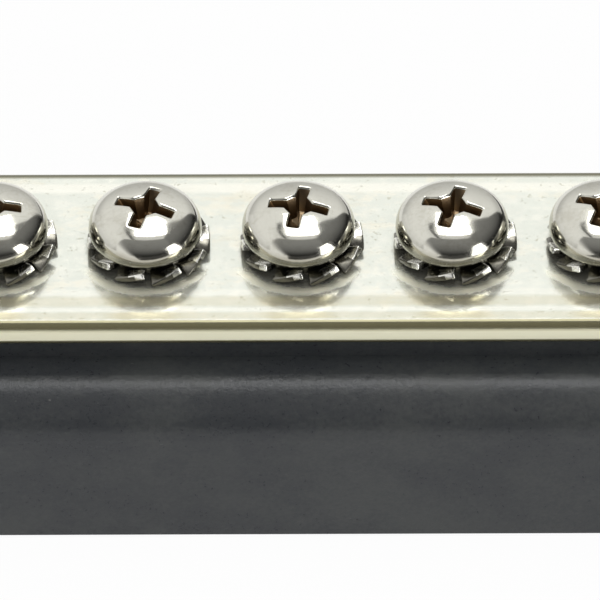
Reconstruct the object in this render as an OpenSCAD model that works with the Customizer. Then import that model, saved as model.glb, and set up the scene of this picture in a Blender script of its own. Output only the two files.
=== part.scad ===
// Terminal bus bar: a tin-plated bar with a row of terminal screws on a moulded insulating base.
// Millimetres, +Z up, X along the bar. The origin is the centre of the base's bottom face.

/* [Terminals] */
// Number of terminal screws in the row
terminal_count = 5; // [2:1:10]
// Distance between neighbouring terminal screws
terminal_pitch = 11.1; // [10:0.1:16]

/* [Bar] */
// Width of the bar across the row
bar_w = 16.8; // [12:0.1:22]
// Thickness of the bar
bar_t = 2; // [1.5:0.1:4]
// Distance from an outer terminal to the bar's end
bar_end = 10.3; // [9.5:0.1:20]
// Radius of the rolled long edges of the bar
bar_edge_r = 0.5; // [0.2:0.05:0.7]
// Radius of the bar's corners, seen from above
bar_corner_r = 1; // [0.5:0.1:3]
// Chamfer at the top of the bar's tapped holes
bar_hole_chamfer = 0.25; // [0.1:0.05:0.4]

/* [Terminal screw] */
// Outside diameter of the thread
thread_d = 4.17; // [3:0.01:5]
// Length of the screw under its head
screw_l = 9.5; // [7:0.1:14]
// Diameter of the pan head
head_d = 8.2; // [6.5:0.1:9.5]
// Height of the pan head
head_h = 2.75; // [2.4:0.05:3.5]
// Radius that rounds the side of the head into its crown
head_edge_r = 2; // [1.5:0.1:2.4]
// Radius of the shallow crown
head_crown_r = 9; // [7:0.5:14]
// Diameter across the wings of the cross recess
recess_d = 4.6; // [3.8:0.1:5]
// Width of a recess wing
recess_wing_w = 1.15; // [0.8:0.05:1.4]
// Diameter of the recess's round core
recess_core_d = 2.3; // [1.6:0.1:2.6]
// Depth of the recess under the crown
recess_depth = 2.1; // [1.6:0.05:2.3]
// Chamfer at the screw's tip
tip_chamfer = 0.6; // [0.3:0.1:1]

/* [Lock washer] */
// Diameter over the teeth
washer_d = 9; // [8.4:0.1:9.6]
// Height over the twisted teeth
washer_h = 1.45; // [1.2:0.05:1.8]
// Thickness of the sheet
washer_t = 0.55; // [0.4:0.05:0.7]
// Diameter of the plain ring inside the teeth
washer_ring_d = 6.6; // [6.2:0.1:7.2]
// Number of teeth
tooth_count = 10; // [8:1:12]
// Twist of a tooth out of the sheet, in degrees
tooth_tilt = 35; // [25:1:45]
// How far a loose washer has slipped along the bar
washer_shift = 0.25; // [0:0.05:0.4]
// Running gap between the washer and the screw, beyond the slip
washer_clearance = 0.1; // [0.05:0.05:0.2]

/* [Base] */
// Height of the seat that carries the bar
base_h = 14.5; // [12:0.1:24]
// Height of the raised seat above the ledge around it
seat_h = 1.7; // [0.8:0.1:3]
// How far the bar stands out past the seat
bar_overhang = 0.75; // [0.3:0.05:1.5]
// Flat width of the ledge around the seat
ledge_w = 1.9; // [1.2:0.1:6]
// Radius of the shoulder between ledge and skirt
shoulder_r = 3.4; // [1:0.1:4]
// Draft of the skirt, in degrees
skirt_draft = 1.3; // [0.5:0.1:4]
// Chamfer at the foot of the skirt
foot_chamfer = 0.3; // [0.1:0.05:0.8]
// Thickness of the deck under the ledge
deck_t = 3; // [2.6:0.1:4]
// Thickness of the skirt's wall
wall_t = 2.4; // [1.8:0.1:3.4]
// Thickness of the ribs between the underside cells
rib_t = 1.8; // [1.2:0.1:2.6]
// Corner radius of the underside cells
cell_corner_r = 1.5; // [0.5:0.1:3]
// Gap around a terminal screw in the base
screw_hole_gap = 0.5; // [0.2:0.05:0.9]

/* [Mounting ears] */
// Thickness of an ear
ear_t = 5; // [3:0.1:9]
// Radius of an ear around its hole
ear_r = 7; // [5.5:0.1:10]
// Radius of the ear's upper edge
ear_edge_r = 1; // [0.4:0.1:2]
// Distance from the body's shoulder to the mounting hole
mount_gap = 4.95; // [4.5:0.05:12]
// Diameter of the mounting hole
mount_hole_d = 4.5; // [3.5:0.1:6]
// Chamfer at the top of the mounting hole
mount_chamfer = 0.5; // [0.2:0.1:1]

/* [Bar fixing screws] */
// Distance from the bar's end to a fixing screw
fixing_setback = 3.4; // [2.5:0.1:4]
// Outside diameter of the fixing screw's thread
fixing_d = 2.84; // [2:0.01:3.2]
// Diameter of its pan head
fixing_head_d = 5.5; // [4.5:0.1:6]
// Height of its pan head
fixing_head_h = 1.9; // [1.7:0.05:2.2]
// How far the tip stays below the top of the bar
fixing_tip_gap = 0.1; // [0.05:0.05:0.5]

/* [Hidden] */
$fn = 64;
// Gap between a screw and the tapped hole it turns in
thread_clearance = 0.04;
// Gap between a fixing screw and its hole in the deck
fixing_clearance = 0.2;
// Half angle of the cone that ends the recess wings
recess_cone = 26.5;
// Pan head of the fixing screws: rounding, crown and recess
fixing_edge_r = 1.3;
fixing_crown_r = 6;
fixing_recess_d = 3.2;
fixing_wing_w = 0.8;
fixing_core_d = 1.6;
fixing_recess_depth = 1.3;
fixing_tip_chamfer = 0.4;
// How far a tooth runs into the washer's ring
tooth_root = 0.3;
// Overlap that lets a cut pass cleanly through a face
cut = 1;
// Turn of each cross recess and of each washer, seen from above, in degrees
recess_turn = [0, -20, -12, -17, -22];
washer_turn = [8, 0, 4, 2, 10];

bar_l = (terminal_count - 1) * terminal_pitch + 2 * bar_end;
bar_top = base_h + bar_t;
head_seat = bar_top + washer_h;
seat_l = bar_l - 2 * bar_overhang;
seat_w = bar_w - 2 * bar_overhang;
ledge_z = base_h - seat_h;
deck_z = ledge_z - deck_t;
skirt_reach = ledge_w + shoulder_r;
cell_w = seat_w + 2 * (skirt_reach - wall_t);
cells_l = seat_l + 2 * (skirt_reach - wall_t);
mount_x = seat_l / 2 + skirt_reach + mount_gap;
fixing_x = bar_l / 2 - fixing_setback;
fixing_l = bar_top - deck_z - fixing_tip_gap;
washer_bore_d = thread_d + 2 * (washer_shift + washer_clearance);
tooth_w = (washer_h - washer_t * cos(tooth_tilt)) / sin(tooth_tilt);

metal = "gainsboro";
tin_plate = [0.93, 0.92, 0.86];
black_plastic = [0.16, 0.17, 0.18];

function terminal_x(i) = (i - (terminal_count - 1) / 2) * terminal_pitch;

// Rectangle with round corners, centred on the origin
module rounded_rectangle(length, width, radius) {
  square([length - 2 * radius, width], center = true);
  square([length, width - 2 * radius], center = true);
  for (x = [-1, 1], y = [-1, 1])
    translate([x * (length / 2 - radius), y * (width / 2 - radius)]) circle(radius);
}

// Half section of a pan head: an upright rim, a rounded edge and a shallow crown tangent to it
module pan_section(d, h, edge_r, crown_r) {
  edge_x = d / 2 - edge_r;
  reach = crown_r - edge_r;
  crown_z = h - crown_r;
  edge_z = crown_z + sqrt(reach * reach - edge_x * edge_x);
  square([d / 2, edge_z]);
  intersection() {
    translate([edge_x, edge_z]) circle(edge_r);
    square([d, h]);
  }
  intersection() {
    translate([0, crown_z]) circle(crown_r);
    square([edge_x * crown_r / reach, h]);
  }
}

// Cross recess, cut downwards from z = 0: four wings and a round core, ended by a cone
module cross_recess(d, wing_w, core_d, depth) {
  foot_r = d / 2 - depth * tan(recess_cone);
  mouth_r = d / 2 + cut * tan(recess_cone);
  intersection() {
    union() {
      for (turn = [0, 90])
        rotate(turn) translate([-d, -wing_w / 2, -depth]) cube([2 * d, wing_w, depth + cut]);
      translate([0, 0, -depth]) cylinder(d = core_d, h = depth + cut);
    }
    translate([0, 0, -depth]) cylinder(h = depth + cut, r1 = foot_r, r2 = mouth_r);
  }
}

// Shank with a chamfered tip, hanging down from z = 0
module shank(d, length, chamfer) {
  translate([0, 0, chamfer - length]) cylinder(d = d, h = length - chamfer);
  translate([0, 0, -length]) cylinder(d1 = d - 2 * chamfer, d2 = d, h = chamfer);
}

// Terminal screw, its head resting on the lock washer
module terminal_screw(i) {
  color(metal)
    translate([terminal_x(i), 0, head_seat])
      rotate(recess_turn[i % len(recess_turn)])
        difference() {
          union() {
            rotate_extrude() pan_section(head_d, head_h, head_edge_r, head_crown_r);
            shank(thread_d, screw_l, tip_chamfer);
          }
          translate([0, 0, head_h]) cross_recess(recess_d, recess_wing_w, recess_core_d, recess_depth);
        }
}

// One washer tooth along +X: a flat blade turned out of the sheet, its tip on the washer's rim
module washer_tooth() {
  root_x = washer_ring_d / 2 - tooth_root;
  intersection() {
    translate([root_x, 0, washer_h / 2])
      rotate([tooth_tilt, 0, 0])
        translate([0, -tooth_w / 2, -washer_t / 2]) cube([washer_d / 2 - root_x, tooth_w, washer_t]);
    cylinder(d = washer_d, h = washer_h);
  }
}

// External-tooth lock washer, held on the screw under its head
module lock_washer(i) {
  color(metal)
    translate([terminal_x(i) + washer_shift, 0, bar_top])
      rotate(washer_turn[i % len(washer_turn)])
        difference() {
          union() {
            translate([0, 0, (washer_h - washer_t) / 2]) cylinder(d = washer_ring_d, h = washer_t);
            for (k = [0 : tooth_count - 1]) rotate(k * 360 / tooth_count) washer_tooth();
          }
          translate([0, 0, -cut]) cylinder(d = washer_bore_d, h = washer_h + 2 * cut);
        }
}

// Cut for a tapped hole through the bar, chamfered at the top
module bar_hole(x, d) {
  translate([x, 0, base_h - cut]) cylinder(d = d, h = bar_t + 2 * cut);
  translate([x, 0, bar_top - bar_hole_chamfer])
    cylinder(d1 = d, d2 = d + 2 * (bar_hole_chamfer + cut), h = bar_hole_chamfer + cut);
}

// Rolled strip cut to length, with a tapped hole at each terminal and each fixing screw
module bus_bar() {
  color(tin_plate)
    difference() {
      intersection() {
        translate([-bar_l / 2, 0, base_h + bar_t / 2])
          rotate([90, 0, 90]) linear_extrude(bar_l) rounded_rectangle(bar_w, bar_t, bar_edge_r);
        translate([0, 0, base_h]) linear_extrude(bar_t) rounded_rectangle(bar_l, bar_w, bar_corner_r);
      }
      for (i = [0 : terminal_count - 1]) bar_hole(terminal_x(i), thread_d + 2 * thread_clearance);
      for (side = [-1, 1]) bar_hole(side * fixing_x, fixing_d + 2 * thread_clearance);
    }
}

// Section of the skirt, outwards from the seat: ledge, rounded shoulder, drafted wall and chamfered foot
module skirt_section() {
  centre = [ledge_w, ledge_z - shoulder_r];
  tangent = centre + shoulder_r * [cos(skirt_draft), sin(skirt_draft)];
  foot_x = tangent.x + (tangent.y - foot_chamfer) * tan(skirt_draft);
  polygon([[0, 0], [foot_x - foot_chamfer, 0], [foot_x, foot_chamfer], tangent, centre, [0, centre.y]]);
  square([ledge_w, ledge_z]);
  intersection() {
    translate(centre) circle(shoulder_r);
    translate([ledge_w, 0]) square(ledge_z);
  }
}

// Outside of the body: the skirt's section carried round the foot of the seat
module body() {
  linear_extrude(base_h) square([seat_l, seat_w], center = true);
  for (turn = [0, 180])
    rotate(turn) {
      translate([seat_l / 2, seat_w / 2, 0]) rotate([90, 0, 0]) linear_extrude(seat_w) skirt_section();
      translate([-seat_l / 2, seat_w / 2, 0]) rotate([90, 0, 90]) linear_extrude(seat_l) skirt_section();
      translate([seat_l / 2, seat_w / 2, 0]) rotate_extrude(angle = 90) skirt_section();
      translate([-seat_l / 2, seat_w / 2, 0]) rotate(90) rotate_extrude(angle = 90) skirt_section();
    }
}

// Half section of a mounting ear, with a rounded upper edge
module ear_section() {
  square([ear_r, ear_t - ear_edge_r]);
  square([ear_r - ear_edge_r, ear_t]);
  translate([ear_r - ear_edge_r, ear_t - ear_edge_r]) circle(ear_edge_r);
}

// Mounting ear at the +X end
module ear() {
  translate([mount_x, 0, 0]) rotate([0, 0, -90]) rotate_extrude(angle = 180) ear_section();
  for (flip = [0, 1])
    mirror([0, flip, 0])
      translate([seat_l / 2, 0, 0]) rotate([90, 0, 90]) linear_extrude(mount_x - seat_l / 2) ear_section();
}

// Hollow under one terminal, from the bottom face up to the deck
module underside_cell(i) {
  left = i == 0 ? -cells_l / 2 : terminal_x(i - 0.5) + rib_t / 2;
  right = i == terminal_count - 1 ? cells_l / 2 : terminal_x(i + 0.5) - rib_t / 2;
  translate([(left + right) / 2, 0, -cut])
    linear_extrude(deck_z + cut) rounded_rectangle(right - left, cell_w, cell_corner_r);
}

// Mounting hole through the +X ear, chamfered at the top
module mounting_hole() {
  translate([mount_x, 0, -cut]) cylinder(d = mount_hole_d, h = ear_t + 2 * cut);
  translate([mount_x, 0, ear_t - mount_chamfer])
    cylinder(d1 = mount_hole_d, d2 = mount_hole_d + 2 * (mount_chamfer + cut), h = mount_chamfer + cut);
}

// Moulded base: body, ears, open cells underneath and the screws' holes
module base() {
  color(black_plastic)
    difference() {
      union() {
        body();
        for (turn = [0, 180]) rotate(turn) ear();
      }
      for (i = [0 : terminal_count - 1]) {
        underside_cell(i);
        translate([terminal_x(i), 0, deck_z - cut])
          cylinder(d = thread_d + 2 * screw_hole_gap, h = seat_h + deck_t + 2 * cut);
      }
      for (turn = [0, 180])
        rotate(turn) {
          mounting_hole();
          translate([fixing_x, 0, deck_z - cut])
            cylinder(d = fixing_d + 2 * fixing_clearance, h = seat_h + deck_t + 2 * cut);
        }
    }
}

// Screw that holds the bar down: its head bears on the deck from below and its thread ends in the bar
module bar_fixing_screw(side) {
  color(metal)
    translate([side * fixing_x, 0, deck_z])
      rotate([180, 0, 0])
        difference() {
          union() {
            rotate_extrude() pan_section(fixing_head_d, fixing_head_h, fixing_edge_r, fixing_crown_r);
            shank(fixing_d, fixing_l, fixing_tip_chamfer);
          }
          translate([0, 0, fixing_head_h])
            cross_recess(fixing_recess_d, fixing_wing_w, fixing_core_d, fixing_recess_depth);
        }
}

base();
bus_bar();
for (i = [0 : terminal_count - 1]) {
  terminal_screw(i);
  lock_washer(i);
}
bar_fixing_screw(-1);  // bar_fixing_screw_1
bar_fixing_screw(1);  // bar_fixing_screw_2
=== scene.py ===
import math

import bmesh
import bpy
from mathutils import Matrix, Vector


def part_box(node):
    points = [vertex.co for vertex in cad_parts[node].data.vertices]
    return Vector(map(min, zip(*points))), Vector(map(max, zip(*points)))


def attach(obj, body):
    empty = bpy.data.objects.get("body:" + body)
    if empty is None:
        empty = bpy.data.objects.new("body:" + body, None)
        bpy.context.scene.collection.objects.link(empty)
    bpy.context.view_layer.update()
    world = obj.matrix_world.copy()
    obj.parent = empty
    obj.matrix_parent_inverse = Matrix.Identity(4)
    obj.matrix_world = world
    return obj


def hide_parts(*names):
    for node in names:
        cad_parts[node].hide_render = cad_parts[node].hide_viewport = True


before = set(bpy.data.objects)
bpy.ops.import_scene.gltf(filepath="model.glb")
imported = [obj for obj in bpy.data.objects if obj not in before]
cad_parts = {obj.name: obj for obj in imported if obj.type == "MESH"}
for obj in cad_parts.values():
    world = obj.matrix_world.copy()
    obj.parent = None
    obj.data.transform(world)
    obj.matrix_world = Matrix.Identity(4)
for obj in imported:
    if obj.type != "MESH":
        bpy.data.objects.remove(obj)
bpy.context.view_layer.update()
mm = 0.001
fullTurn = 2 * math.pi
weldGap = 0.002 * mm  # points nearer than this become one
roundSteps = 48  # facets round a spun blank or drill
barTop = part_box("bus_bar")[1].z / mm


def takeOnly(piece=None):
    if bpy.context.mode != "OBJECT":
        bpy.ops.object.mode_set(mode="OBJECT")
    bpy.ops.object.select_all(action="DESELECT")
    if piece:
        piece.select_set(True)
        bpy.context.view_layer.objects.active = piece


def openMesh(piece):
    takeOnly(piece)
    bpy.ops.object.mode_set(mode="EDIT")
    bpy.ops.mesh.select_mode(type="VERT")


# selects the edges or faces that pass the test, by place or normal
def pick(kind, test):
    bpy.ops.mesh.select_mode(type=kind)
    bpy.ops.mesh.select_all(action="DESELECT")
    mesh = bpy.context.edit_object.data
    work = bmesh.from_edit_mesh(mesh)
    for item in {"EDGE": work.edges, "FACE": work.faces}[kind]:
        if test(item):
            item.select_set(True)
    work.select_flush_mode()
    bmesh.update_edit_mesh(mesh)


def mergeDoubles():
    bpy.ops.mesh.select_all(action="SELECT")
    bpy.ops.mesh.remove_doubles(threshold=weldGap)


def faceOutwards():
    bpy.ops.mesh.select_all(action="SELECT")
    bpy.ops.mesh.normals_make_consistent(inside=False)


# a plane shrunk to one point and pulled along the points, in mm; the new piece stays in edit mode
def drawChain(name, points, closed=False):
    takeOnly()
    bpy.ops.mesh.primitive_plane_add(size=mm, location=(0, 0, 0))
    piece = bpy.context.active_object
    piece.name = name
    openMesh(piece)
    bpy.ops.mesh.select_all(action="SELECT")
    bpy.ops.mesh.merge(type="CENTER")
    bpy.ops.transform.translate(value=Vector(points[0]) * mm)
    path = points + points[:1] if closed else points
    for here, there in zip(path, path[1:]):
        step = (Vector(there) - Vector(here)) * mm
        bpy.ops.mesh.extrude_vertices_move(TRANSFORM_OT_translate={"value": step})
    mergeDoubles()
    return piece


# turns the drawn half section round Z into a closed body
def spinRound():
    bpy.ops.mesh.select_all(action="SELECT")
    bpy.ops.mesh.spin(steps=roundSteps, angle=fullTurn, center=(0, 0, 0), axis=(0, 0, 1))
    mergeDoubles()
    faceOutwards()


def addModifier(piece, kind, **settings):
    takeOnly(piece)
    made = piece.modifiers.new(kind.lower(), kind)
    for key, value in settings.items():
        setattr(made, key, value)
    bpy.ops.object.modifier_apply(modifier=made.name)


# cuts, joins or trims a piece with another and drops the other
def combine(piece, other, operation):
    addModifier(piece, "BOOLEAN", operation=operation, solver="EXACT", object=other)
    bpy.data.objects.remove(other)


# edges sharper than this many degrees stay sharp
def smooth(piece, degrees):
    takeOnly(piece)
    bpy.ops.object.shade_smooth_by_angle(angle=math.radians(degrees))


# copies a piece with its own mesh and settles the copy's turn and place in that mesh
def copyTo(piece, name, place, turn, flip=0):
    takeOnly(piece)
    bpy.ops.object.duplicate()
    made = bpy.context.active_object
    made.name = name
    made.data.name = name
    made.rotation_euler = (math.radians(flip), 0, math.radians(turn))
    made.location = Vector(place) * mm
    bpy.ops.object.transform_apply(location=True, rotation=True, scale=True)
    return made


# puts a piece on its body and hides the CAD node it stands for
def settle(piece, body, node):
    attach(piece, body)
    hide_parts(node)


# shader maths: one wrapped socket
class Wire:
    def __init__(self, tree, socket=None):
        self.tree = tree
        self.socket = socket

    def node(self, kind, settings=None, sockets=None, out=0):
        made = self.tree.nodes.new(kind)
        for key, value in (settings or {}).items():
            setattr(made, key, value)
        for key, value in (sockets or {}).items():
            if isinstance(value, Wire):
                self.tree.links.new(value.socket, made.inputs[key])
            else:
                made.inputs[key].default_value = value
        return Wire(self.tree, made.outputs[out] if len(made.outputs) else None)

    def math(self, operation, *values):
        return self.node("ShaderNodeMath", {"operation": operation}, dict(enumerate(values)))

    def __add__(self, other):
        return self.math("ADD", self, other)

    def __sub__(self, other):
        return self.math("SUBTRACT", self, other)

    def __rsub__(self, other):
        return self.math("SUBTRACT", other, self)

    def __mul__(self, other):
        return self.math("MULTIPLY", self, other)

    def __truediv__(self, other):
        return self.math("DIVIDE", self, other)

    def __pow__(self, other):
        return self.math("POWER", self, other)

    def __abs__(self):
        return self.math("ABSOLUTE", self)

    __radd__ = __add__
    __rmul__ = __mul__


def newFinish(name):
    material = bpy.data.materials.new(name)
    material.use_nodes = True
    material.node_tree.nodes.clear()
    return material, Wire(material.node_tree)


def closeFinish(pen, sockets):
    shader = pen.node("ShaderNodeBsdfPrincipled", {}, sockets)
    pen.node("ShaderNodeOutputMaterial", {}, {"Surface": shader})


def placeOn(pen):
    return pen.node("ShaderNodeTexCoord", out="Object")


# X, Y or Z of a place or a normal
def partOf(wire, axis):
    return wire.node("ShaderNodeSeparateXYZ", {}, {0: wire}, axis)


# noise on Object coordinates; stretch says how many features fall on a millimetre along X, Y and Z,
# and turn is in degrees round Z
def grain(pen, stretch, detail=3, roughness=0.55, turn=0, shift=(0, 0, 0)):
    scaled = pen.node("ShaderNodeMapping", {}, {
        "Vector": placeOn(pen),
        "Location": shift,
        "Rotation": (0, 0, math.radians(turn)),
        "Scale": [v / mm for v in stretch],
    })
    return pen.node("ShaderNodeTexNoise", {}, {
        "Vector": scaled, "Scale": 1.0, "Detail": detail, "Roughness": roughness,
    })


# a noise swung about zero, to fray what it is added to
def sway(wire, share):
    return (wire - 0.5) * share


# 0 to 1 between two values, eased
def ease(wire, low, high):
    return wire.node("ShaderNodeMapRange", {"interpolation_type": "SMOOTHSTEP"}, {
        "Value": wire, "From Min": low, "From Max": high,
    })


def blendColour(factor, first, second):
    return factor.node("ShaderNodeMix", {"data_type": "RGBA"}, {0: factor, 6: first, 7: second}, 2)


def raised(pen, height, strength, distance):
    return pen.node("ShaderNodeBump", {}, {
        "Height": height, "Strength": strength, "Distance": distance * mm,
    })


# tin plate of the bar
tinLook = {
    "pale": (0.885, 0.89, 0.80, 1),
    "yellow": (0.93, 0.905, 0.77, 1),
    "green": (0.825, 0.845, 0.76, 1),
    "bright": (0.985, 0.972, 0.87, 1),
    "warm": (0.79, 0.745, 0.60, 1),
    "lineShade": (0.67, 0.615, 0.42, 1),
    "speck": (0.50, 0.48, 0.35, 1),
    "frontStrip": (0.74, 0.70, 0.50, 1),
    "contactShade": (0.36, 0.35, 0.29, 1),
    "rolledEdge": (0.115, 0.104, 0.052, 1),
    "rolledSide": (0.25, 0.225, 0.11, 1),
    "flank": (0.86, 0.835, 0.615, 1),  # the sheared sides
    "backEdgeShade": (0.23, 0.222, 0.155, 1),
    # how far each covers what lies under it
    "cover": {
        "yellow": 0.7,
        "warm": 0.55,
        "speck": 0.45,
        "frontStrip": 0.5,
        "contactShade": 0.8,
        "rolled": 0.95,
        "flank": 0.9,
        "backEdgeShade": 0.9,
    },
    "cloud": {"stretch": (0.16, 0.3, 0.3)},
    "patches": {"stretch": (0.55, 0.8, 0.8), "roughness": 0.6, "shift": (7, 2, 0)},
    "mottle": {"stretch": (1.2, 1.6, 1.6), "detail": 4, "roughness": 0.62},
    "drawn": {"stretch": (0.03, 3.4, 3.4)},  # lines along the rolling direction
    "dots": {"stretch": (2.1, 2.4, 2.4), "detail": 2, "roughness": 0.7, "shift": (3, 1, 0)},
    # values of the noise at which a colour sets in and is full
    "paleFrom": (0.42, 0.68),
    "yellowFrom": (0.5, 0.75),
    "warmFrom": (0.5, 0.9),
    "speckFrom": (0.62, 0.72),
    # how far a finer noise frays each of them
    "fray": {
        "pale": 0.4,
        "yellow": 0.8,
        "warm": 0.7,
        "warmDrawn": 0.4,
        "lines": 0.6,
        "contactShade": 0.5,
        "frontStrip": 0.7,
    },
    # at each terminal, in mm: its pitch, the ring of painted shadow under the washer, and a warmer, rougher
    # strip in front of it
    "pitch": 11.1,
    "rowEnd": (2.45, 2.5),  # in pitches from the middle
    "contactShadeRadius": (4.0, 4.5),
    "frontStripRadius": (4.1, 4.5, 4.9, 5.4),
    "frontStripFrom": (1.8, 3.6),
    # lighter and darker lines along the bar: mm from its middle, half width, depth
    "shadeLines": ((-5.78, 0.65, 0.8), (-7.3, 0.45, 0.8)),
    "brightLines": ((6.45, 0.6, 0.8), (-6.64, 0.22, 0.45), (-4.85, 0.4, 0.4)),
    "lineFade": (0.45, 1.2),  # in half widths
    # the darker lines are fainter between the screws: mm from a screw, and by how much; nearer a screw they
    # are a painted reflection of the head's dark rim
    "fainterFrom": (1.4, 3.4),
    "fainter": 0.5,
    # the bar's edges, by how far the surface faces upwards; backEdgeFrom is in mm; the rolled edges and the
    # back edge are darkened as painted shade
    "flankTop": (0.0, 0.62),
    "flankFoot": (-0.3, -0.02),
    "rolledSlope": (0.02, 0.12),
    "rolledTop": (0.82, 0.94),
    "backEdgeSlope": (0.3, 0.6),
    "backEdgeFrom": (7.42, 7.75),
    "metallic": 0.78,
    "flankMatt": 0.6,  # less metallic there
    "roughness": 0.16,
    "wornRough": 0.16,
    "wornDrawn": 0.5,
    "flankRough": 0.28,
    "frontStripRough": 0.3,
    # relief: shares of two of the noises, then strength and depth in mm
    "drawnRelief": 0.6,
    "dotsRelief": 0.3,
    "relief": (0.12, 0.02),
}


def makeTinPlate(look):
    material, pen = newFinish("tinPlate")
    cover = look["cover"]
    fray = look["fray"]
    lengthways = partOf(placeOn(pen), "X")
    across = partOf(placeOn(pen), "Y")
    upwards = partOf(pen.node("ShaderNodeNewGeometry", out="Normal"), "Z")
    cloud = grain(pen, **look["cloud"])
    patches = grain(pen, **look["patches"])
    mottle = grain(pen, **look["mottle"])
    drawn = grain(pen, **look["drawn"])
    dots = grain(pen, **look["dots"])

    def along(lines):
        total = 0
        for place, width, depth in lines:
            away = abs(across - place * mm) * (1 / (width * mm)) + sway(mottle, fray["lines"])
            total = total + (1 - ease(away, *look["lineFade"])) * depth
        return total

    # each terminal in a cell of its own, with its screw in the middle
    cell = lengthways / (look["pitch"] * mm) + 0.5
    fromScrew = (cell.math("FRACT", cell) - 0.5) * look["pitch"]
    radius = (fromScrew * fromScrew + across * across * (1 / mm ** 2)) ** 0.5
    onRow = 1 - ease(abs(lengthways), *[v * look["pitch"] * mm for v in look["rowEnd"]])
    # painted shadow: a dark ring on the bar under each washer and head
    contactShadow = (1 - ease(radius + sway(mottle, fray["contactShade"]), *look["contactShadeRadius"])) * onRow
    inner, innerFull, outerFull, outer = look["frontStripRadius"]
    uneven = radius + sway(mottle, fray["frontStrip"])
    inFront = ease(across * (-1 / mm), *look["frontStripFrom"]) * onRow
    frontStrip = ease(uneven, inner, innerFull) * (1 - ease(uneven, outerFull, outer)) * inFront
    # painted reflection: the darker lines grow stronger near each screw, standing for the head's dark rim
    shade = along(look["shadeLines"]) * (1 - ease(abs(fromScrew), *look["fainterFrom"]) * look["fainter"])
    flank = (1 - ease(upwards, *look["flankTop"])) * ease(upwards, *look["flankFoot"])
    # painted shade: the rolled edges darker, standing for the dark they reflect
    rolled = ease(abs(upwards) * (1 - upwards ** 2) ** 0.5, *look["rolledSlope"])
    # painted shade: a darker line along the back edge
    back = ease(across, *[v * mm for v in look["backEdgeFrom"]]) * ease(upwards, *look["backEdgeSlope"])
    pale = ease(patches + sway(mottle, fray["pale"]), *look["paleFrom"])
    yellow = ease(cloud + sway(patches, fray["yellow"]), *look["yellowFrom"])
    warm = ease(cloud + sway(mottle, fray["warm"]) + sway(drawn, fray["warmDrawn"]), *look["warmFrom"])
    speck = ease(dots, *look["speckFrom"])
    # colours of the painted shade on the rolled edges
    edge = blendColour(ease(upwards, *look["rolledTop"]), look["rolledSide"], look["rolledEdge"])
    colour = blendColour(pale, look["green"], look["pale"])
    colour = blendColour(yellow * cover["yellow"], colour, look["yellow"])
    colour = blendColour(along(look["brightLines"]), colour, look["bright"])
    colour = blendColour(warm * cover["warm"], colour, look["warm"])
    colour = blendColour(shade, colour, look["lineShade"])
    colour = blendColour(speck * cover["speck"], colour, look["speck"])
    colour = blendColour(frontStrip * cover["frontStrip"], colour, look["frontStrip"])
    colour = blendColour(contactShadow * cover["contactShade"], colour, look["contactShade"])
    colour = blendColour(rolled * cover["rolled"], colour, edge)
    colour = blendColour(flank * cover["flank"], colour, look["flank"])
    colour = blendColour(back * cover["backEdgeShade"], colour, look["backEdgeShade"])
    worn = mottle - 0.5 + sway(drawn, look["wornDrawn"])
    rough = worn * look["wornRough"] + flank * look["flankRough"] + frontStrip * look["frontStripRough"]
    height = mottle + drawn * look["drawnRelief"] + dots * look["dotsRelief"]
    closeFinish(pen, {
        "Base Color": colour,
        "Metallic": look["metallic"] - flank * look["flankMatt"],
        "Roughness": rough + look["roughness"],
        "Normal": raised(pen, height, *look["relief"]),
    })
    return material


# bright plating of the screws, with painted shade in their recess and on their rim, and the washers' sheet,
# darkened as painted shade, with painted highlights on the corners of its teeth
screwLook = {
    "name": "screwPlating",
    "bright": (0.67, 0.658, 0.585, 1),
    "dull": (0.53, 0.51, 0.435, 1),
    "roughness": 0.11,
    "scratch": 0.10,
    # painted shade round the lower side of the heads, by the height above the bar in mm
    "lowSideShade": (0.40, 0.375, 0.30, 1),
    "lowSideShadeFrom": (1.35, 1.45),
    "lowSideShadeTo": (2.15, 2.95),
}
recessLook = {
    "name": "recessShade",
    "bright": (0.26, 0.19, 0.115, 1),
    "dull": (0.075, 0.056, 0.034, 1),
    "roughness": 0.3,
    "scratch": 0.12,
}
rimLook = {
    "name": "rimShade",
    "bright": (0.46, 0.45, 0.385, 1),
    "dull": (0.25, 0.24, 0.2, 1),
    "roughness": 0.2,
    "scratch": 0.12,
}
# the washers' sheet is darker than their plated steel: painted shade
washerLook = {
    "name": "washerShade",
    "bright": (0.20, 0.192, 0.163, 1),
    "dull": (0.085, 0.08, 0.066, 1),
    "roughness": 0.2,
    "scratch": 0.14,
}
toothGlintLook = {
    "name": "toothGlint",
    "bright": (0.94, 0.93, 0.87, 1),
    "dull": (0.72, 0.70, 0.63, 1),
    "roughness": 0.24,
    "scratch": 0.10,
}
# wear that all of them share
steelWear = {
    "cloud": {"stretch": (0.45, 0.45, 0.45)},
    "fine": {"stretch": (3.2, 3.2, 3.2), "roughness": 0.6},
    "scratches": {"stretch": (0.5, 9, 3), "detail": 2, "roughness": 0.5, "turn": 31},
    "crossing": {"stretch": (8, 0.6, 3), "detail": 2, "roughness": 0.5, "turn": 12},
    "scratchFrom": (0.58, 0.7),
    "scratchShare": 0.5,
    "crossingFrom": (0.6, 0.72),
    "crossingShare": 0.4,
    "scratchCover": 0.25,
    "dullFrom": (0.45, 0.8),
    "dullFray": 0.5,
    "dullCover": 0.6,
    "dullRough": 0.07,
    "lowSideShadeFray": 0.8,
    "lowSideShadeCover": 0.9,
    "scratchRelief": 0.4,
    "relief": (0.06, 0.01),  # strength, and depth in mm
}


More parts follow.
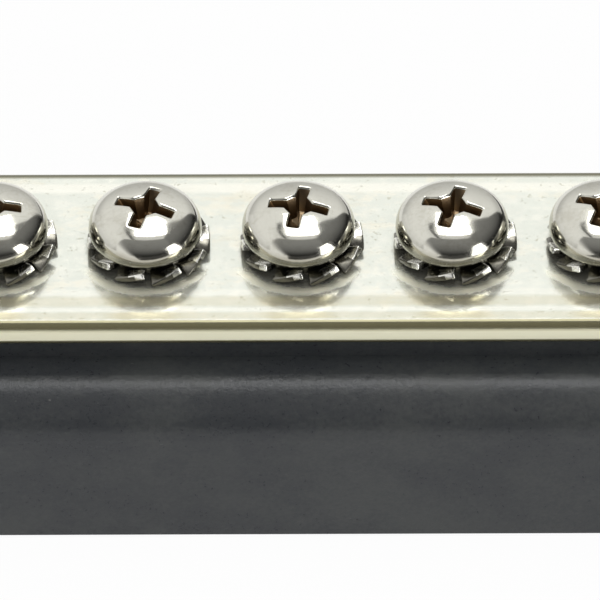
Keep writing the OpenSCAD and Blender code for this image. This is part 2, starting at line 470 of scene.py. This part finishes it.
def makePlatedSteel(look, wear):
    material, pen = newFinish(look["name"])
    cloud = grain(pen, **wear["cloud"])
    fine = grain(pen, **wear["fine"])
    scratches = grain(pen, **wear["scratches"])
    crossing = grain(pen, **wear["crossing"])
    worn = ease(scratches, *wear["scratchFrom"]) * wear["scratchShare"]
    worn = worn + ease(crossing, *wear["crossingFrom"]) * wear["crossingShare"]
    dull = ease(cloud + sway(fine, wear["dullFray"]), *wear["dullFrom"])
    cover = dull * wear["dullCover"] + worn * wear["scratchCover"]
    colour = blendColour(cover, look["bright"], look["dull"])
    if "lowSideShade" in look:
        # painted shade: the lower side of each head darker
        above = partOf(placeOn(pen), "Z") * (1 / mm) - barTop
        clear = ease(above + sway(cloud, wear["lowSideShadeFray"]), *look["lowSideShadeTo"])
        rim = ease(above, *look["lowSideShadeFrom"]) * (1 - clear)
        colour = blendColour(rim * wear["lowSideShadeCover"], colour, look["lowSideShade"])
    closeFinish(pen, {
        "Base Color": colour,
        "Metallic": 1.0,
        "Roughness": dull * wear["dullRough"] + worn * look["scratch"] + look["roughness"],
        "Normal": raised(pen, fine + scratches * wear["scratchRelief"], *wear["relief"]),
    })
    return material


# moulded black plastic of the base
mouldingLook = {
    "black": (0.029, 0.0315, 0.0345, 1),
    "grey": (0.045, 0.048, 0.0475, 1),
    "scuff": (0.17, 0.17, 0.16, 1),
    "cloud": {"stretch": (0.12, 0.2, 0.2), "detail": 4, "roughness": 0.6},
    "texture": {"stretch": (3.0, 3.0, 3.0), "roughness": 0.65},  # the fine spark-eroded grain of the mould
    "pits": {"stretch": (1.1, 1.1, 1.1), "roughness": 0.6},
    "marks": {"stretch": (0.9, 1.6, 2.6), "roughness": 0.7, "turn": 24},
    "greyFrom": (0.3, 0.75),
    "greyTexture": 0.6,
    "greyPits": 0.3,
    "scuffFrom": (0.72, 0.78),
    "scuffCover": 0.6,
    "specular": 0.35,
    "roughness": 0.33,
    "roughTexture": 0.3,
    "roughCloud": 0.14,
    "pitsRelief": 0.6,
    "relief": (0.5, 0.06),  # strength, and depth in mm
}


def makeMoulding(look):
    material, pen = newFinish("blackMoulding")
    cloud = grain(pen, **look["cloud"])
    texture = grain(pen, **look["texture"])
    pits = grain(pen, **look["pits"])
    marks = grain(pen, **look["marks"])
    tone = cloud + sway(texture, look["greyTexture"]) + sway(pits, look["greyPits"])
    colour = blendColour(ease(tone, *look["greyFrom"]), look["black"], look["grey"])
    colour = blendColour(ease(marks, *look["scuffFrom"]) * look["scuffCover"], colour, look["scuff"])
    rough = sway(texture, look["roughTexture"]) + sway(cloud, look["roughCloud"])
    closeFinish(pen, {
        "Base Color": colour,
        "Specular IOR Level": look["specular"],
        "Roughness": rough + look["roughness"],
        "Normal": raised(pen, texture + pits * look["pitsRelief"], *look["relief"]),
    })
    return material


tinPlate = makeTinPlate(tinLook)
screwPlating = makePlatedSteel(screwLook, steelWear)
recessShade = makePlatedSteel(recessLook, steelWear)
rimShade = makePlatedSteel(rimLook, steelWear)
washerShade = makePlatedSteel(washerLook, steelWear)
toothGlint = makePlatedSteel(toothGlintLook, steelWear)
blackMoulding = makeMoulding(mouldingLook)
print("finishes made")


# what both kinds of screw share, lengths in mm
screwMaking = {
    # steps along a wing's side, round its corner and over the flat between two wings of the recess
    "sideSteps": 4,
    "cornerSteps": 3,
    "flatSteps": 3,
    # rings cut into the crown, and steps round the head's edge and the bevel under it
    "crownCuts": 3,
    "edgeSteps": 12,
    "bevelSteps": 3,
    "slack": 0.02,
    # the recess: shares of its soft rim inwards and down, then the wall, and the step round its floor
    "softSteps": ((0.35, 0.06), (0.3, 0.22), (0.25, 0.45)),
    "wallDrop": 0.5,
    "floorInset": 0.1,
    "floorStep": 0.05,
    # the recess takes painted shade between this far under its rim and this far above the head's underside
    "shadeUnder": 0.12,
    "shadeAbove": 0.05,
    "shadedSlope": 0.1,  # faces that look less upwards than this take the rim's shade
    # the thread: shares of its pitch where its crest starts and ends and its root starts again
    "crestFrom": 0.38,
    "crestTo": 0.5,
    "rootFrom": 0.88,
    "threadSteps": 40,
    "spareTurns": 3,
    # how far the blank that trims it stands out beside, above and below
    "beside": 0.2,
    "above": 1,
    "below": 0.5,
    "crease": 32,
}


# cross outline of the recess, seen from above: one wing along +X, then the next three
def crossOutline(shape, making):
    half = shape["wingWidth"] / 2
    tip = shape["recessWidth"] / 2
    corner = shape["wingCorner"]
    inner = shape["coreFlat"] * math.sqrt(2) - half
    lower = []
    for k in range(making["sideSteps"]):
        lower.append((inner + (tip - corner - inner) * k / making["sideSteps"], -half))
    for k in range(making["cornerSteps"] + 1):
        angle = math.radians(90 * k / making["cornerSteps"] - 90)
        lower.append((tip - corner + corner * math.cos(angle), corner - half + corner * math.sin(angle)))
    wing = lower + [(tip, 0)] + [(x, -y) for x, y in reversed(lower)]
    steps = making["flatSteps"]
    for k in range(1, steps):  # the flat of the core between two wings
        wing.append((inner + (half - inner) * k / steps, half + (inner - half) * k / steps))
    outline = []
    for c, s in ((1, 0), (0, 1), (-1, 0), (0, -1)):
        outline += [(x * c - y * s, x * s + y * c) for x, y in wing]
    return outline


# pan head standing on z = 0 with its cross recess
def makeHead(name, shape, making):
    crownR = shape["crownRadius"]
    edgeR = shape["edgeRadius"]
    rimR = shape["headWidth"] / 2
    recessR = shape["recessWidth"] / 2
    height = shape["headHeight"]
    edgeX = rimR - edgeR
    edgeZ = height - crownR + math.sqrt((crownR - edgeR) ** 2 - edgeX ** 2)
    tangent = math.asin(edgeX / (crownR - edgeR))
    crownFoot = crownR * math.cos(tangent)
    lastR = crownR * math.sin(tangent)
    lastZ = height - crownR + crownFoot
    outline = [(x, y, math.sqrt(crownR ** 2 - x * x - y * y)) for x, y in crossOutline(shape, making)]
    head = drawChain(name, outline, closed=True)
    bpy.ops.mesh.primitive_circle_add(vertices=len(outline), radius=lastR * mm,
                                      location=(0, 0, crownFoot * mm))
    bpy.ops.mesh.select_mode(type="EDGE")
    bpy.ops.mesh.select_all(action="SELECT")
    bpy.ops.mesh.bridge_edge_loops(number_cuts=making["crownCuts"], interpolation="LINEAR")
    # the strips between recess and rim are drawn onto the crown's sphere
    addModifier(head, "CAST", cast_type="SPHERE", factor=1.0, radius=0.0, size=crownR * mm,
                use_radius_as_size=False)
    openMesh(head)
    bpy.ops.mesh.select_all(action="SELECT")
    bpy.ops.transform.translate(value=(0, 0, (height - crownR) * mm))
    rings = []
    for k in range(1, making["edgeSteps"] + 1):
        angle = tangent + (math.pi / 2 - tangent) * k / making["edgeSteps"]
        rings.append((edgeX + edgeR * math.sin(angle), edgeZ + edgeR * math.cos(angle)))
    bevel = shape["rimBevel"]
    for k in range(making["bevelSteps"] + 1):
        angle = math.radians(90 * k / making["bevelSteps"])
        rings.append((rimR - bevel + bevel * math.cos(angle), bevel - bevel * math.sin(angle)))
    rings.append((shape["threadRoot"] / 2, 0))
    outside = (lastR - making["slack"]) * mm
    pick("EDGE", lambda e: e.is_boundary and e.verts[0].co.xy.length > outside)
    for r, z in rings:
        bpy.ops.mesh.extrude_region_move(TRANSFORM_OT_translate={"value": (0, 0, (z - lastZ) * mm)})
        bpy.ops.transform.resize(value=(r / lastR, r / lastR, 1), center_override=(0, 0, 0))
        lastR, lastZ = r, z
    bpy.ops.mesh.edge_face_add()
    # the recess: a soft rim, tapering walls flattened at their foot, and a pointed floor
    pick("EDGE", lambda e: e.is_boundary)
    bpy.ops.mesh.edge_face_add()
    soft = shape["rimRound"]
    for inset, drop in making["softSteps"]:
        bpy.ops.mesh.inset(thickness=soft * inset * mm, depth=-soft * drop * mm, use_even_offset=True)
    bpy.ops.mesh.extrude_region_move(TRANSFORM_OT_translate={"value": (0, 0, -making["wallDrop"] * mm)})
    bpy.ops.transform.resize(value=(shape["footScale"], shape["footScale"], 0),
                             center_override=(0, 0, (height - shape["recessDepth"]) * mm))
    bpy.ops.mesh.inset(thickness=making["floorInset"] * mm, depth=-making["floorStep"] * mm,
                       use_even_offset=True)
    bpy.ops.mesh.poke(offset=-shape["floorDrop"] * mm)
    faceOutwards()
    # painted shade: the walls and floor of the recess and the underside take darker finishes
    for finish in (screwPlating, recessShade, rimShade):
        head.data.materials.append(finish)
    shadeTop = height - crownR + math.sqrt(crownR ** 2 - recessR ** 2) - making["shadeUnder"]

    def inRecess(face):
        middle = face.calc_center_median()
        return middle.xy.length < recessR * mm and making["shadeAbove"] * mm < middle.z < shadeTop * mm

    def inShade(face):
        return face.normal.z < making["shadedSlope"] and not inRecess(face)

    for slot, test in ((1, inRecess), (2, inShade)):
        pick("FACE", test)
        head.active_material_index = slot
        bpy.ops.object.material_slot_assign()
    return head


# thread from z = 0 downwards, with a chamfered tip
def makeThread(name, shape, making):
    root = shape["threadRoot"] / 2
    crest = shape["threadWidth"] / 2
    pitch = shape["pitch"]
    length = shape["length"]
    turns = math.ceil(length / pitch) + making["spareTurns"]
    low = -pitch * (turns - 1)
    tooth = ((root, 0), (crest, making["crestFrom"]), (crest, making["crestTo"]),
             (root, making["rootFrom"]), (root, 1))
    thread = drawChain(name, [(r, 0, low + pitch * share) for r, share in tooth])
    steps = making["threadSteps"]
    addModifier(thread, "SCREW", axis="Z", angle=fullTurn, screw_offset=pitch * mm, iterations=turns,
                steps=steps, render_steps=steps, use_merge_vertices=True, merge_threshold=weldGap)
    openMesh(thread)
    mergeDoubles()
    top = shape["threadTop"]
    for z, outwards in ((top, 1), (-length, -1)):
        bpy.ops.mesh.select_all(action="SELECT")
        bpy.ops.mesh.bisect(plane_co=(0, 0, z * mm), plane_no=(0, 0, outwards), use_fill=True,
                            clear_outer=True, threshold=weldGap)
    faceOutwards()
    chamfer = shape["tipChamfer"]
    wide = crest + making["beside"]
    above = top + making["above"]
    below = -length - making["below"]
    section = ((0, above), (wide, above), (wide, chamfer + making["beside"] - length),
               (crest - chamfer, -length), (crest - chamfer, below), (0, below))
    blank = drawChain("blank", [(r, 0, z) for r, z in section])
    spinRound()
    combine(thread, blank, "INTERSECT")
    return thread


def makeScrew(name, shape, making):
    head = makeHead(name, shape, making)
    thread = makeThread(name + "Thread", shape, making)
    combine(head, thread, "UNION")
    openMesh(head)
    mergeDoubles()
    smooth(head, making["crease"])
    return head


terminalScrewShape = {
    "headWidth": 8.2,
    "headHeight": 2.745,
    "crownRadius": 9.0,
    "edgeRadius": 1.75,
    "rimBevel": 0.4,
    "recessWidth": 4.6,
    "wingWidth": 1.15,
    "wingCorner": 0.22,
    "coreFlat": 1.13,
    "rimRound": 0.19,
    "recessDepth": 1.85,
    "footScale": 0.6,
    "floorDrop": 0.25,
    "threadWidth": 4.17,
    "threadRoot": 3.32,
    "threadTop": 0.3,
    "pitch": 0.79375,
    "length": 9.5,
    "tipChamfer": 0.6,
    "seat": 1.45,  # underside of the head above the bar
    "places": (-22.2, -11.1, 0, 11.1, 22.2),
    "turns": (0, -20, -12, -17, -22),
}

pattern = makeScrew("terminalScrew", terminalScrewShape, screwMaking)
for i, (x, turn) in enumerate(zip(terminalScrewShape["places"], terminalScrewShape["turns"]), 1):
    screw = copyTo(pattern, f"terminalScrew.{i}", (x, 0, barTop + terminalScrewShape["seat"]), turn)
    settle(screw, f"screw_{i}", f"terminal_screw_{i}")
takeOnly()
bpy.data.objects.remove(pattern)
print("terminal screws made")


# one under each terminal screw
lockWasherShape = {
    "bore": 4.87,
    "ring": 6.6,
    "overTeeth": 8.86,
    "teeth": 10,
    "sheet": 0.5,
    "toothShare": 0.86,  # of the ring's edge; the gaps take the rest
    "twist": 24.5,
    "flare": 1.38,  # how much wider a tooth is at its tip
    "ringSteps": 12,  # along the ring, for each tooth
    "toothSteps": 6,
    "slack": 0.01,
    "edgeBevel": 0.08,
    "bevelSteps": 3,
    "bevelOver": 50,  # degrees between two faces
    "crease": 40,
    "bright": (7.2, 0.22),  # a tooth takes a painted highlight outside this width and above this height over its middle
    "middle": 0.725,  # middle of the sheet above the bar
    "slip": 0.25,  # how far each lies off its screw's axis
    "turns": (8, 0, 4, 2, 10),
}


# external-tooth washer lying round the origin
def makeLockWasher(name, shape):
    sector = fullTurn / shape["teeth"]
    boreR = shape["bore"] / 2
    ringR = shape["ring"] / 2
    edge = []
    for r in (boreR, (boreR + ringR) / 2, ringR):
        edge.append((r * math.cos(sector / 2), r * math.sin(sector / 2), 0))
    washer = drawChain(name, edge)
    bpy.ops.mesh.spin(steps=shape["ringSteps"], angle=sector, center=(0, 0, 0), axis=(0, 0, 1))
    mergeDoubles()

    def underTooth(corner):
        turned = abs(math.atan2(corner.co.y, corner.co.x))
        outside = (ringR - shape["slack"]) * mm
        return corner.co.xy.length > outside and turned < sector / 2 * shape["toothShare"]

    # the tooth grows out of the middle of the outer edge and twists and widens on its way
    pick("EDGE", lambda e: all(underTooth(v) for v in e.verts))
    steps = shape["toothSteps"]
    reach = shape["overTeeth"] / 2 - ringR
    for k in range(steps):
        bpy.ops.mesh.extrude_region_move(TRANSFORM_OT_translate={"value": (reach / steps * mm, 0, 0)})
        bpy.ops.transform.rotate(value=-math.radians(shape["twist"] / steps), orient_axis="X",
                                 center_override=(0, 0, 0))
        spread = (1 + (shape["flare"] - 1) * (k + 1) / steps) / (1 + (shape["flare"] - 1) * k / steps)
        bpy.ops.transform.resize(value=(1, spread, spread), center_override=(0, 0, 0))
    bpy.ops.mesh.select_all(action="SELECT")
    bpy.ops.mesh.spin(steps=shape["teeth"] - 1, dupli=True, angle=fullTurn - sector, center=(0, 0, 0),
                      axis=(0, 0, 1))
    mergeDoubles()
    faceOutwards()
    addModifier(washer, "SOLIDIFY", thickness=shape["sheet"] * mm, offset=0.0, use_even_offset=True)
    for finish in (washerShade, toothGlint):
        washer.data.materials.append(finish)
    addModifier(washer, "BEVEL", width=shape["edgeBevel"] * mm, segments=shape["bevelSteps"],
                limit_method="ANGLE", angle_limit=math.radians(shape["bevelOver"]))
    # painted highlight: the raised corners of the teeth take a bright finish
    brightWidth, brightHeight = shape["bright"]

    def raisedCorner(face):
        middle = face.calc_center_median()
        return middle.xy.length > brightWidth / 2 * mm and middle.z > brightHeight * mm

    openMesh(washer)
    pick("FACE", raisedCorner)
    washer.active_material_index = 1
    bpy.ops.object.material_slot_assign()
    smooth(washer, shape["crease"])
    return washer


pattern = makeLockWasher("lockWasher", lockWasherShape)
for i, (x, turn) in enumerate(zip(terminalScrewShape["places"], lockWasherShape["turns"]), 1):
    place = (x + lockWasherShape["slip"], 0, barTop + lockWasherShape["middle"])
    washer = copyTo(pattern, f"lockWasher.{i}", place, turn)
    settle(washer, f"washer_{i}", f"lock_washer_{i}")
takeOnly()
bpy.data.objects.remove(pattern)
print("lock washers made")


fixingScrewShape = {
    "headWidth": 5.5,
    "headHeight": 1.9,
    "crownRadius": 6.0,
    "edgeRadius": 1.3,
    "rimBevel": 0.12,
    "recessWidth": 3.2,
    "wingWidth": 0.8,
    "wingCorner": 0.16,
    "coreFlat": 0.79,
    "rimRound": 0.1,
    "recessDepth": 1.15,
    "footScale": 0.62,
    "floorDrop": 0.15,
    "threadWidth": 2.84,
    "threadRoot": 2.2,
    "threadTop": 0.25,
    "pitch": 0.635,
    "length": 6.6,
    "tipChamfer": 0.4,
    "seat": -6.7,  # underside of the deck, which carries the head from below, from the bar's top
    "places": (-29.1, 29.1),
    "turns": (14, -31),
}

pattern = makeScrew("barFixingScrew", fixingScrewShape, screwMaking)
for i, (x, turn) in enumerate(zip(fixingScrewShape["places"], fixingScrewShape["turns"]), 1):
    place = (x, 0, barTop + fixingScrewShape["seat"])
    screw = copyTo(pattern, f"barFixingScrew.{i}", place, turn, flip=180)
    settle(screw, "bar_on_base", f"bar_fixing_screw_{i}")
takeOnly()
bpy.data.objects.remove(pattern)
print("bar fixing screws made")


busBarShape = {
    "cornerRadius": 1.0,
    "edgeRadius": 0.65,
    "bevelSteps": 6,
    "border": 0.03,
    "holeChamfer": 0.25,
    "terminalHole": 4.25,
    "fixingHole": 2.92,
    "drillAbove": 0.5,  # how far the drill stands out above and below
    "drillBelow": 1,
    "level": 0.1,  # edges that rise less than this lie flat
    "square": 0.999,  # faces that look along an axis by at least this much are the flat ones
    "crease": 35,
}


def makeBusBar(shape):
    low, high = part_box("bus_bar")
    takeOnly()
    bpy.ops.mesh.primitive_cube_add(size=1, location=(0, 0, 0))
    bar = bpy.context.active_object
    bar.name = "busBar"
    openMesh(bar)
    bpy.ops.mesh.select_all(action="SELECT")
    bpy.ops.transform.resize(value=high - low, center_override=(0, 0, 0))
    bpy.ops.transform.translate(value=(low + high) / 2)

    def liesFlat(edge):
        return abs(edge.verts[0].co.z - edge.verts[1].co.z) < shape["level"] * mm

    pick("EDGE", lambda e: not liesFlat(e))
    bpy.ops.mesh.bevel(offset=shape["cornerRadius"] * mm, segments=shape["bevelSteps"], affect="EDGES")
    pick("EDGE", liesFlat)
    bpy.ops.mesh.bevel(offset=shape["edgeRadius"] * mm, segments=shape["bevelSteps"], affect="EDGES")
    faceOutwards()
    # a narrow border keeps the large faces flat where they meet the rolled edges
    pick("FACE", lambda f: max(abs(v) for v in f.normal) > shape["square"])
    bpy.ops.mesh.inset(thickness=shape["border"] * mm, use_individual=True)
    # tapped holes, chamfered at the top
    holes = [(x, shape["terminalHole"]) for x in terminalScrewShape["places"]]
    holes += [(x, shape["fixingHole"]) for x in fixingScrewShape["places"]]
    top = high.z / mm
    chamfer = shape["holeChamfer"]
    above = top + shape["drillAbove"]
    below = low.z / mm - shape["drillBelow"]
    for x, width in holes:
        r = width / 2
        wide = r + chamfer + shape["drillAbove"]
        section = ((0, below), (r, below), (r, top - chamfer), (wide, above), (0, above))
        drill = drawChain("drill", [(radius, 0, z) for radius, z in section])
        spinRound()
        bpy.ops.transform.translate(value=(x * mm, 0, 0))
        combine(bar, drill, "DIFFERENCE")
    smooth(bar, shape["crease"])
    bar.data.materials.append(tinPlate)
    return bar


settle(makeBusBar(busBarShape), "bar_on_base", "bus_bar")
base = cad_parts["base"]
for slot in base.material_slots:
    slot.material = blackMoulding
takeOnly()
print("bar and base dressed")


# studio: white floor and surroundings, three soft lamps for the matt surfaces, and cards that only the gloss
# shows: the bright face of the softbox, a bright card at the lower right, and darker flags round them
studioSet = {
    "white": (1, 1, 1, 1),
    "floorSize": 8.0,
    "paper": (0.9, 0.9, 0.9, 1),
    "paperGlow": 0.95,
    "worldLight": 0.34,
    # how bright the surroundings look in the metal near the horizon and overhead, and between which heights
    # on the sky that changes
    "horizonGloss": 0.62,
    "horizonUpTo": (0.05, 0.64),
    "overheadGloss": 0.8,
    "overheadFrom": (0.84, 0.98),
    # lamps: place and size in metres, brightness
    "lamps": {
        "softbox": ((0.06, 0.2, 0.62), 0.48, 1.2),
        "fill": ((0, -0.25, 0.65), 0.5, 2.5),
        "front": ((0, -0.55, 0.38), 0.4, 2.2),
    },
    # cards: two lower and two upper corners in metres, the brightness low and high, the heights between
    # which it changes, and where along X it fades out to white
    "cards": {
        "softboxFace": {
            "corners": ((0.225, 0.08, 0.6), (-0.1, 0.08, 0.6), (-0.1, 0.45, 0.6), (0.1, 0.45, 0.6)),
            "glow": (5.5, 5.5),
        },
        "softboxFrame": {
            "corners": ((-0.14, -0.09, 0.6), (-0.19, -0.09, 0.6), (-0.19, 0.3, 0.6), (-0.14, 0.3, 0.6)),
            "glow": (0.1, 0.1),
        },
        "frontFlag": {
            "corners": ((-1.95, -1.4, 0), (1.5, -1.4, 0), (0.25, -0.095, 0.6), (-0.3, -0.095, 0.6)),
            "glow": (0.03, 0.29),
            "heights": (0.1, 0.6),
            "fade": (-0.8, -0.35),
        },
        "sideFlag": {
            "corners": ((1.5, -1.4, 0), (1.5, 1.5, 0), (0.15, 0.27, 0.6), (0.25, -0.095, 0.6)),
            "glow": (0.02, 0.22),
            "heights": (0.2, 0.6),
        },
        "fillCard": {
            "corners": ((0.058, -0.069, 0.001), (0.083, -0.034, 0.001), (0.42, -0.24, 0.27),
                        (0.33, -0.35, 0.25)),
            "glow": (4.5, 4.5),
        },
        "floorFlag": {
            "corners": ((0.055, -0.02, 0.002), (1.5, -0.55, 0.002), (1.5, 1.5, 0.002), (0.055, 0.3, 0.002)),
            "glow": (0.06, 0.06),
        },
        "frontFloorFlag": {
            "corners": ((-0.02, -0.058, 0.002), (0.08, -0.058, 0.002), (1.5, -1.4, 0.002),
                        (-0.5, -1.4, 0.002)),
            "glow": (0.08, 0.08),
        },
        "leftCard": {
            "corners": ((-0.9, 0.9, 0), (-0.9, -0.5, 0), (-0.9, -0.5, 0.5), (-0.9, 0.9, 0.5)),
            "glow": (0.75, 0.95),
            "heights": (0, 0.5),
        },
    },
}


def seenBy(pen, *rays):
    total = 0
    for ray in rays:
        total = total + pen.node("ShaderNodeLightPath", out=f"Is {ray} Ray")
    return total.math("MINIMUM", total, 1.0)


def shine(pen, strength):
    return pen.node("ShaderNodeEmission", {}, {"Color": studioSet["white"], "Strength": strength})


def makeWorld(setup):
    world = bpy.data.worlds.new("studio")
    bpy.context.scene.world = world
    world.use_nodes = True
    world.node_tree.nodes.clear()
    pen = Wire(world.node_tree)
    height = partOf(pen.node("ShaderNodeTexCoord", out="Generated"), "Z")
    gloss = ease(height, *setup["horizonUpTo"]) * (1 - setup["horizonGloss"]) + setup["horizonGloss"]
    gloss = gloss - ease(height, *setup["overheadFrom"]) * (1 - setup["overheadGloss"])
    plain = setup["worldLight"]
    straight = seenBy(pen, "Camera", "Transmission") * (1 - plain)
    strength = straight + seenBy(pen, "Glossy") * (gloss - plain) + plain
    sky = pen.node("ShaderNodeBackground", {}, {"Color": setup["white"], "Strength": strength})
    pen.node("ShaderNodeOutputWorld", {}, {"Surface": sky})


# white where it is seen, and it still takes the shadow
def makeFloor(setup):
    takeOnly()
    bpy.ops.mesh.primitive_plane_add(size=setup["floorSize"], location=(0, 0, 0))
    floor = bpy.context.active_object
    floor.name = "studioFloor"
    paper, pen = newFinish("studioPaper")
    matt = pen.node("ShaderNodeBsdfDiffuse", {}, {"Color": setup["paper"]})
    seen = seenBy(pen, "Camera", "Glossy", "Transmission") * setup["paperGlow"]
    surface = pen.node("ShaderNodeMixShader", {}, {0: seen, 1: matt, 2: shine(pen, 1.0)})
    pen.node("ShaderNodeOutputMaterial", {}, {"Surface": surface})
    floor.data.materials.append(paper)


def makeLamp(name, place, size, brightness):
    takeOnly()
    aim = Vector(place).to_track_quat("Z", "Y").to_euler()
    bpy.ops.object.light_add(type="AREA", location=place, rotation=aim)
    lamp = bpy.context.active_object
    lamp.name = name
    lamp.data.size = size
    lamp.data.energy = brightness * math.pi * size ** 2
    lamp.visible_camera = False
    lamp.visible_glossy = False


def makeCard(name, corners, glow, heights=(0, 0.1), fade=None):
    card = drawChain(name, [[v / mm for v in corner] for corner in corners], closed=True)
    bpy.ops.mesh.edge_face_add()
    takeOnly()
    cloth, pen = newFinish(name)
    where = placeOn(pen)
    low, high = [shine(pen, v) for v in glow]
    face = pen.node("ShaderNodeMixShader", {}, {0: ease(partOf(where, "Z"), *heights), 1: low, 2: high})
    if fade:
        inside = ease(partOf(where, "X"), *fade)
        face = pen.node("ShaderNodeMixShader", {}, {0: inside, 1: shine(pen, 1.0), 2: face})
    pen.node("ShaderNodeOutputMaterial", {}, {"Surface": face})
    card.data.materials.append(cloth)
    card.visible_camera = False
    card.visible_diffuse = False
    card.visible_shadow = False
    card.visible_transmission = False


makeWorld(studioSet)
makeFloor(studioSet)
for name, lamp in studioSet["lamps"].items():
    makeLamp(name, *lamp)
for name, card in studioSet["cards"].items():
    makeCard(name, **card)

viewSet = {
    "lens": 500,
    "sensor": 36,
    "clip": (0.01, 100),
    "distance": 0.604,
    "elevation": 42.5,
    "roll": -0.2,
    "target": (0.08, -2.591, barTop - 2.828),
}


def makeCamera(setup):
    takeOnly()
    rise = math.radians(setup["elevation"])
    away = Vector((0, -math.cos(rise), math.sin(rise))) * setup["distance"]
    place = Vector(setup["target"]) * mm + away
    bpy.ops.object.camera_add(location=place, rotation=(math.pi / 2 - rise, 0, 0))
    camera = bpy.context.active_object
    camera.name = "photoCamera"
    camera.rotation_euler.rotate_axis("Z", math.radians(setup["roll"]))
    camera.data.lens = setup["lens"]
    camera.data.sensor_width = setup["sensor"]
    camera.data.clip_start, camera.data.clip_end = setup["clip"]
    bpy.context.scene.camera = camera


makeCamera(viewSet)
bpy.context.scene.view_settings.view_transform = "Standard"
print("studio and camera set")
